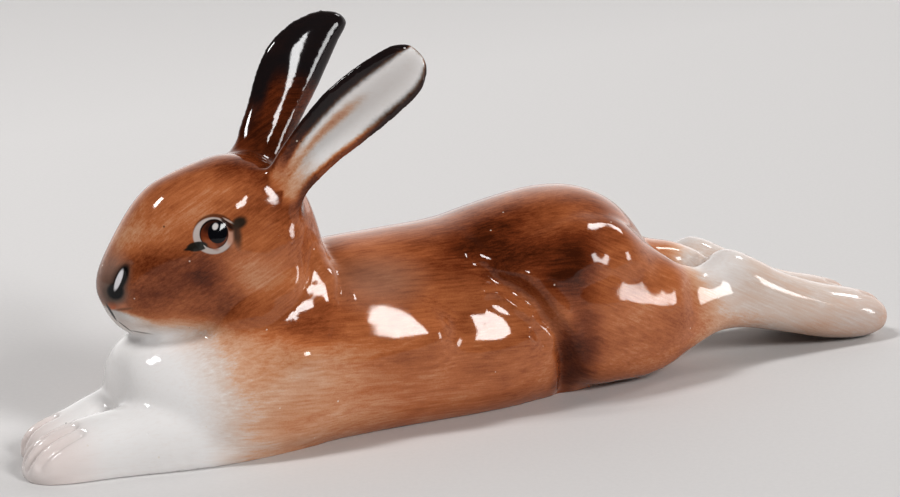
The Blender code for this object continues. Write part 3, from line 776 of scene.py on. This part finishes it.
def paintedPorcelain():
    material = bpy.data.materials.new("painted_porcelain")
    material.use_nodes = True
    nodes, links = material.node_tree.nodes, material.node_tree.links
    nodes.clear()

    def wire(socket, value):
        if isinstance(value, bpy.types.NodeSocket):
            links.new(value, socket)
        else:
            socket.default_value = value

    def calc(operation, a, b=0.0):
        node = nodes.new("ShaderNodeMath")
        node.operation = operation
        wire(node.inputs[0], a)
        wire(node.inputs[1], b)
        return node.outputs[0]

    def ramp(value, low, high, outLow=0.0, outHigh=1.0):
        node = nodes.new("ShaderNodeMapRange")
        node.interpolation_type = "SMOOTHSTEP"
        for name, each in (("Value", value), ("From Min", low), ("From Max", high),
                           ("To Min", outLow), ("To Max", outHigh)):
            wire(node.inputs[name], each)
        return node.outputs["Result"]

    def between(amount, first, second):
        node = nodes.new("ShaderNodeMix")
        wire(node.inputs["Factor"], amount)
        wire(node.inputs[2], first)
        wire(node.inputs[3], second)
        return node.outputs[0]

    def blend(amount, under, top):
        node = nodes.new("ShaderNodeMix")
        node.data_type = "RGBA"
        wire(node.inputs["Factor"], amount)
        for socket, each in ((node.inputs[6], under), (node.inputs[7], top)):
            wire(socket, each if isinstance(each, bpy.types.NodeSocket) else (*each, 1))
        return node.outputs[2]

    def mapped(vector, kind, location=(0, 0, 0), rotation=(0, 0, 0), size=(1, 1, 1)):
        node = nodes.new("ShaderNodeMapping")
        node.vector_type = kind
        wire(node.inputs["Vector"], vector)
        node.inputs["Location"].default_value = location
        node.inputs["Rotation"].default_value = rotation
        node.inputs["Scale"].default_value = size
        return node.outputs[0]

    def noise(vector, scale, detail, roughness=0.5):
        node = nodes.new("ShaderNodeTexNoise")
        wire(node.inputs["Vector"], vector)
        node.inputs["Scale"].default_value = scale
        node.inputs["Detail"].default_value = detail
        node.inputs["Roughness"].default_value = roughness
        return node.outputs["Fac"]

    def painted(name):
        node = nodes.new("ShaderNodeAttribute")
        node.attribute_name = name
        return node.outputs["Fac"]

    def oval(vector, centre, reach, turn, soft):
        flat = mapped(vector, "TEXTURE", (*centre, 0), (0, 0, math.radians(turn)), (*reach, 12))
        node = nodes.new("ShaderNodeVectorMath")
        node.operation = "LENGTH"
        wire(node.inputs[0], flat)
        return ramp(node.outputs["Value"], 1 + soft, 1 - soft)

    # the maker's sheet: millimetres, with the far side folded onto the near one
    place = nodes.new("ShaderNodeTexCoord").outputs["Object"]
    size = 1 / scale / mm
    sheet = mapped(place, "POINT", (-shift[0] * size, -shift[1] * size, 0), size=(size, size, size))
    split = nodes.new("ShaderNodeSeparateXYZ")
    wire(split.inputs[0], sheet)
    joined = nodes.new("ShaderNodeCombineXYZ")
    wire(joined.inputs[0], split.outputs[0])
    wire(joined.inputs[1], calc("MULTIPLY", calc("ABSOLUTE", split.outputs[1]), -1.0))
    wire(joined.inputs[2], split.outputs[2])
    folded = joined.outputs[0]

    def brushed(turn):
        turned = mapped(folded, "POINT", rotation=(0, math.radians(turn), 0))
        return noise(mapped(turned, "POINT", size=finish["hairSize"]), 1.0, 5.0, 0.66)

    bodyHair, headHair, legHair = [brushed(turn) for turn in finish["hairTurns"]]
    x, z = split.outputs[0], split.outputs[2]
    onHead = calc("MULTIPLY", ramp(z, 29, 34), ramp(x, -33, -38))
    hair = between(ramp(x, 24, 34), between(onHead, bodyHair, headHair), legHair)
    grit = noise(sheet, finish["gritScale"], 2.0, 0.7)
    patches = noise(mapped(sheet, "POINT", size=finish["patchSize"]),
                    finish["patchScale"], 3.0, 0.6)

    # the paint lies unevenly: hairs everywhere, grit and wide patches where there is paint
    coat = painted("coat")
    density = coat
    for unevenness, strength in (
            (hair, ramp(coat, 0.0, 0.25, *finish["hairStrength"])),
            (grit, ramp(coat, 0.0, 0.3, 0.0, finish["gritStrength"])),
            (patches, ramp(coat, 0.0, 0.3, 0.0, finish["patchStrength"]))):
        change = calc("MULTIPLY", calc("SUBTRACT", unevenness, 0.5), strength)
        density = calc("ADD", density, change)
    tones = nodes.new("ShaderNodeValToRGB")
    wire(tones.inputs[0], density)
    stops = tones.color_ramp.elements
    while len(stops) < len(finish["coatTones"]):
        stops.new(0.5)
    for stop, (where, tone) in zip(stops, finish["coatTones"]):
        stop.position = where
        stop.color = (*tone, 1)
    colour = tones.outputs[0]
    pinkness = calc("MULTIPLY", painted("pink"), finish["pinkStrength"])
    colour = blend(pinkness, colour, finish["pink"])
    colour = blend(painted("grey"), colour, finish["grey"])
    colour = blend(painted("black"), colour, finish["black"])

    # the eye, then the nose and the mouth
    across, up = [Vector(way) for way in finish["facing"]]
    facing = Matrix((across, up, across.cross(up))).transposed().to_euler()
    for middle, touches in (("eyeMiddle", "eyeTouches"), ("noseMiddle", "noseTouches")):
        view = mapped(folded, "TEXTURE", finish[middle], facing)
        for where, reach, turn, soft, strength, tone in finish[touches]:
            touch = calc("MULTIPLY", oval(view, where, reach, turn, soft), strength)
            colour = blend(touch, colour, tone)

    # specks and pinholes in the glaze
    cells = nodes.new("ShaderNodeTexVoronoi")
    wire(cells.inputs["Vector"], sheet)
    cells.inputs["Scale"].default_value = finish["speckScale"]
    speck = ramp(cells.outputs["Distance"], *finish["speckEdge"])
    kind = nodes.new("ShaderNodeSeparateColor")
    wire(kind.inputs[0], cells.outputs["Color"])
    for test, limit, tone in (("GREATER_THAN", finish["paleAbove"], finish["paleSpeck"]),
                              ("LESS_THAN", finish["darkBelow"], finish["darkSpeck"])):
        chosen = calc("MULTIPLY", speck, calc(test, kind.outputs[0], limit))
        colour = blend(calc("MULTIPLY", chosen, finish["speckStrength"]), colour, tone)

    # gloss, and the small unevenness of brush work and glaze
    brushWork = calc("MULTIPLY", calc("ADD", hair, grit), finish["bumpHair"])
    ripple = calc("MULTIPLY", noise(sheet, finish["rippleScale"], 2.0), finish["bumpRipple"])
    height = calc("SUBTRACT", calc("ADD", brushWork, ripple),
                  calc("MULTIPLY", speck, finish["bumpSpeck"]))
    bump = nodes.new("ShaderNodeBump")
    bump.inputs["Strength"].default_value = 1.0
    bump.inputs["Distance"].default_value = finish["bumpDistance"]
    wire(bump.inputs["Height"], height)
    shader = nodes.new("ShaderNodeBsdfPrincipled")
    wire(shader.inputs["Base Color"], colour)
    wire(shader.inputs["Roughness"], ramp(hair, 0.2, 0.8, *finish["roughness"]))
    shader.inputs["IOR"].default_value = finish["glazeIndex"]
    wire(shader.inputs["Normal"], bump.outputs[0])
    output = nodes.new("ShaderNodeOutputMaterial")
    wire(output.inputs[0], shader.outputs[0])
    return material


hare.data.materials.clear()
hare.data.materials.append(paintedPorcelain())
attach(hare, "root")
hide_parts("hare")
print("paint and glaze mixed")


# The studio: a plain pale table top, a room that is dim on the camera's side, and softboxes
studio = {
    "floorColour": (0.74, 0.722, 0.714),
    "floorSize": 6,
    "floorLevel": -0.0001,
    "floorRoughness": 0.7,
    "floorShine": 0.2,
    "grainScale": 900,
    "grainTones": (0.97, 1.03),
    # The table is painted a little darker towards the camera: painted shade, as if less light
    # reached its near part
    "tableShadeWay": (-0.25, 1.0, 0.0),
    "tableShadeFrom": (-0.22, 0.35),
    "tableShadeTones": (0.80, 1.05),
    "roomDark": (0.05, 0.05, 0.05),
    "roomPale": (1.25, 1.23, 1.22),
    "backWall": (0.44, 0.78, -0.44),  # the way the room is palest
    "roomFade": (-0.12, 0.88),
    "lights": [  # name, turn and rise of where it stands, distance, width, height, watts
        ("mainSoftbox", (-74, 32), 2.4, 0.55, 0.75, 27.0),
        ("leftSoftbox", (-186, 57), 2.4, 0.34, 0.60, 24.0),
        ("highRearSoftbox", (2, 38), 2.4, 0.45, 0.45, 8.0),
        ("lowRightSoftbox", (-35, 8), 2.4, 0.34, 0.55, 7.0),
    ],
    "lookAt": (-0.01005, -0.003283, 0.03775),
    "camera": (-0.28450, -0.48840, 0.17670),
    "lens": 96.0,
    "sensorWidth": 36,
    "clipStart": 0.01,
}
bpy.ops.object.select_all(action="DESELECT")
bpy.ops.mesh.primitive_plane_add(
    size=studio["floorSize"], location=(0, 0, studio["floorLevel"]))
floor = bpy.context.active_object
floor.name = "tableTop"
bpy.ops.object.transform_apply(location=True)


def ranged(tree, value, low, high, outLow=0.0, outHigh=1.0, smooth=False):
    node = tree.nodes.new("ShaderNodeMapRange")
    if smooth:
        node.interpolation_type = "SMOOTHSTEP"
    for name, number in (("From Min", low), ("From Max", high),
                         ("To Min", outLow), ("To Max", outHigh)):
        node.inputs[name].default_value = number
    tree.links.new(value, node.inputs["Value"])
    return node.outputs["Result"]


def howFarAlong(tree, coordinate, way):
    place = tree.nodes.new("ShaderNodeTexCoord")
    node = tree.nodes.new("ShaderNodeVectorMath")
    node.operation = "DOT_PRODUCT"
    node.inputs[1].default_value = way
    tree.links.new(place.outputs[coordinate], node.inputs[0])
    return node.outputs["Value"]


def paleTable():
    material = bpy.data.materials.new("paleTable")
    material.use_nodes = True
    tree = material.node_tree
    place = tree.nodes.new("ShaderNodeTexCoord")
    grain = tree.nodes.new("ShaderNodeTexNoise")
    grain.inputs["Scale"].default_value = studio["grainScale"]
    grain.inputs["Detail"].default_value = 2
    tree.links.new(place.outputs["Object"], grain.inputs["Vector"])
    # painted shade: the table's colour falls off towards the camera
    tableShade = howFarAlong(tree, "Object", studio["tableShadeWay"])
    both = tree.nodes.new("ShaderNodeMath")
    both.operation = "MULTIPLY"
    tree.links.new(ranged(tree, grain.outputs["Fac"], 0, 1, *studio["grainTones"]), both.inputs[0])
    tree.links.new(ranged(tree, tableShade, *studio["tableShadeFrom"], *studio["tableShadeTones"]), both.inputs[1])
    tint = tree.nodes.new("ShaderNodeVectorMath")
    tint.operation = "SCALE"
    tint.inputs[0].default_value = studio["floorColour"]
    tree.links.new(both.outputs[0], tint.inputs["Scale"])
    shader = tree.nodes["Principled BSDF"]
    tree.links.new(tint.outputs[0], shader.inputs["Base Color"])
    shader.inputs["Roughness"].default_value = studio["floorRoughness"]
    shader.inputs["Specular IOR Level"].default_value = studio["floorShine"]
    return material


floor.data.materials.append(paleTable())

world = bpy.data.worlds.new("paleRoom")
bpy.context.scene.world = world
world.use_nodes = True
air = world.node_tree
towardsWall = howFarAlong(air, "Generated", studio["backWall"])
room = air.nodes.new("ShaderNodeMix")
room.data_type = "RGBA"
room.inputs[6].default_value = (*studio["roomDark"], 1)
room.inputs[7].default_value = (*studio["roomPale"], 1)
air.links.new(ranged(air, towardsWall, *studio["roomFade"], smooth=True), room.inputs["Factor"])
air.links.new(room.outputs[2], air.nodes["Background"].inputs[0])

target = Vector(studio["lookAt"])
for name, (turn, rise), distance, width, height, power in studio["lights"]:
    turn, rise = math.radians(turn), math.radians(rise)
    level = math.cos(rise)
    way = Vector((level * math.cos(turn), level * math.sin(turn), math.sin(rise)))
    bpy.ops.object.light_add(type="AREA", location=target + way * distance)
    lamp = bpy.context.active_object
    lamp.name = name
    lamp.rotation_euler = way.to_track_quat("Z", "Y").to_euler()
    lamp.data.shape = "RECTANGLE"
    lamp.data.size = width
    lamp.data.size_y = height
    lamp.data.energy = power

bpy.ops.object.camera_add(location=studio["camera"])
camera = bpy.context.active_object
camera.name = "photoCamera"
camera.rotation_euler = (camera.location - target).to_track_quat("Z", "Y").to_euler()
camera.data.lens = studio["lens"]
camera.data.sensor_width = studio["sensorWidth"]
camera.data.clip_start = studio["clipStart"]
bpy.context.scene.camera = camera
bpy.context.scene.view_settings.view_transform = "Standard"
bpy.context.scene.view_settings.look = "Medium High Contrast"
print("studio lit")
